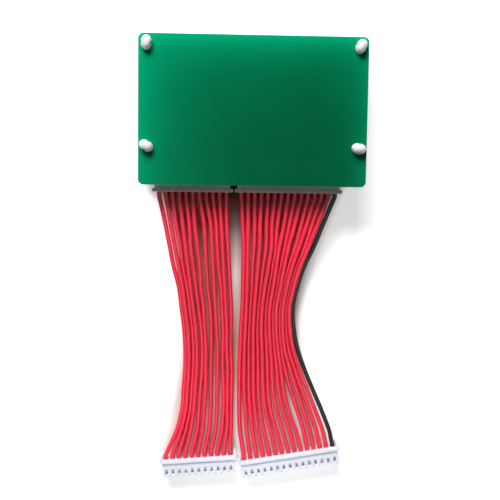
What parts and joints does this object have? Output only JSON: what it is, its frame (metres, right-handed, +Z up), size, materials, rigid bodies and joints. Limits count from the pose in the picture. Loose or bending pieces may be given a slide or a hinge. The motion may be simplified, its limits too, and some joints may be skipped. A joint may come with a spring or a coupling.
{
  "type": "active balancer board",
  "caption": "Active balancer board: a component board under a blank green cover on snap-in spacers, with right-angle connectors and loose-wire harnesses that end in white plugs.",
  "frame": {"origin": "on the standing surface, under the middle of the two boards", "axes": "+X along the row of connectors, towards the one with the black wire; +Y towards the boards' rear edge, away from the harnesses; +Z up, from the component board to the cover"},
  "size_m": [0.083, 0.1678, 0.0196],
  "materials": {
    "solder_mask": "satin green solder mask",
    "spacer_nylon": "white moulded nylon",
    "header_nylon": "off-white moulded nylon",
    "plug_nylon": "cool white moulded nylon",
    "tinned_metal": "bright tin plate",
    "solder": "satin solder",
    "ferrite": "matte ferrite",
    "chip_epoxy": "matte black epoxy",
    "capacitor_ceramic": "tan ceramic",
    "red_insulation": "satin red insulation",
    "black_insulation": "glossy black insulation"
  },
  "bodies": {
    "root": {"cover_board": "solder_mask", "main_board": "solder_mask", "rear_left_spacer": "spacer_nylon", "rear_right_spacer": "spacer_nylon", "front_left_spacer": "spacer_nylon", "front_right_spacer": "spacer_nylon", "left_header": "header_nylon", "right_header": "header_nylon", "left_board_plug": "plug_nylon", "right_board_plug": "plug_nylon", "left_free_plug": "plug_nylon", "right_free_plug": "plug_nylon", "left_header_pins": "tinned_metal", "right_header_pins": "tinned_metal", "left_board_contacts": "tinned_metal", "right_board_contacts": "tinned_metal", "left_free_contacts": "tinned_metal", "right_free_contacts": "tinned_metal", "inductor_terminals": "tinned_metal", "pin_solder": "solder", "power_inductors": "ferrite", "balancer_chips": "chip_epoxy", "sense_resistors": "chip_epoxy", "ceramic_capacitors": "capacitor_ceramic", "left_wire_1": "red_insulation", "left_wire_2": "red_insulation", "left_wire_3": "red_insulation", "left_wire_4": "red_insulation", "left_wire_5": "red_insulation", "left_wire_6": "red_insulation", "left_wire_7": "red_insulation", "left_wire_8": "red_insulation", "left_wire_9": "red_insulation", "left_wire_10": "red_insulation", "left_wire_11": "red_insulation", "right_wire_1": "red_insulation", "right_wire_2": "red_insulation", "right_wire_3": "red_insulation", "right_wire_4": "red_insulation", "right_wire_5": "red_insulation", "right_wire_6": "red_insulation", "right_wire_7": "red_insulation", "right_wire_8": "red_insulation", "right_wire_9": "red_insulation", "right_wire_10": "red_insulation", "right_wire_11": "red_insulation", "right_wire_12": "red_insulation", "right_wire_13": "red_insulation", "right_wire_14": "red_insulation", "black_wire": "black_insulation"}
  },
  "joints": []
}
